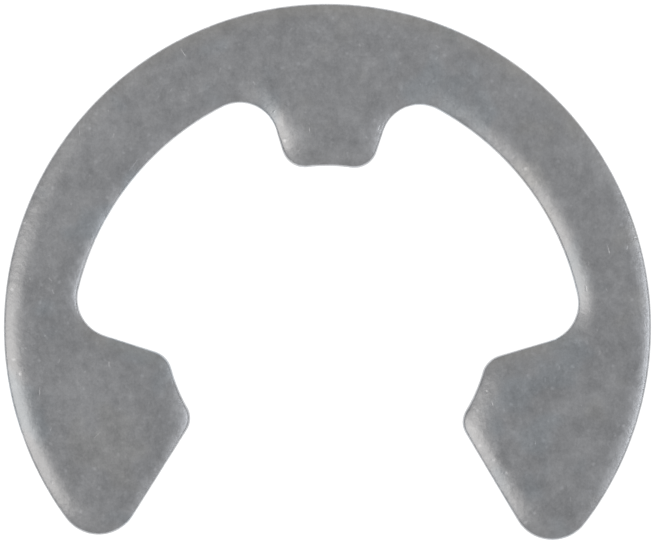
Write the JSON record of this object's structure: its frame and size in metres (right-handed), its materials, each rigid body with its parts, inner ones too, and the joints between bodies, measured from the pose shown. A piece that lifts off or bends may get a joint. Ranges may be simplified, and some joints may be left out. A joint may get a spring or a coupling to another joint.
{
  "type": "retaining ring",
  "caption": "Flat stamped spring steel retaining ring, open on one side, with tapered arms, inward lugs that grip a groove in a shaft, and rounded tumbled edges.",
  "frame": {"origin": "on the axis of the shaft that the ring grips, level with the ring's lower face", "axes": "+Z along the shaft out of the face with the bent edge, +Y towards the middle lug, the mouth opens towards -Y"},
  "size_m": [0.0376, 0.031, 0.0018],
  "materials": {
    "spring_steel": "matt grey, barrel tumbled"
  },
  "bodies": {
    "root": {"retaining_ring": "spring_steel"}
  },
  "joints": []
}
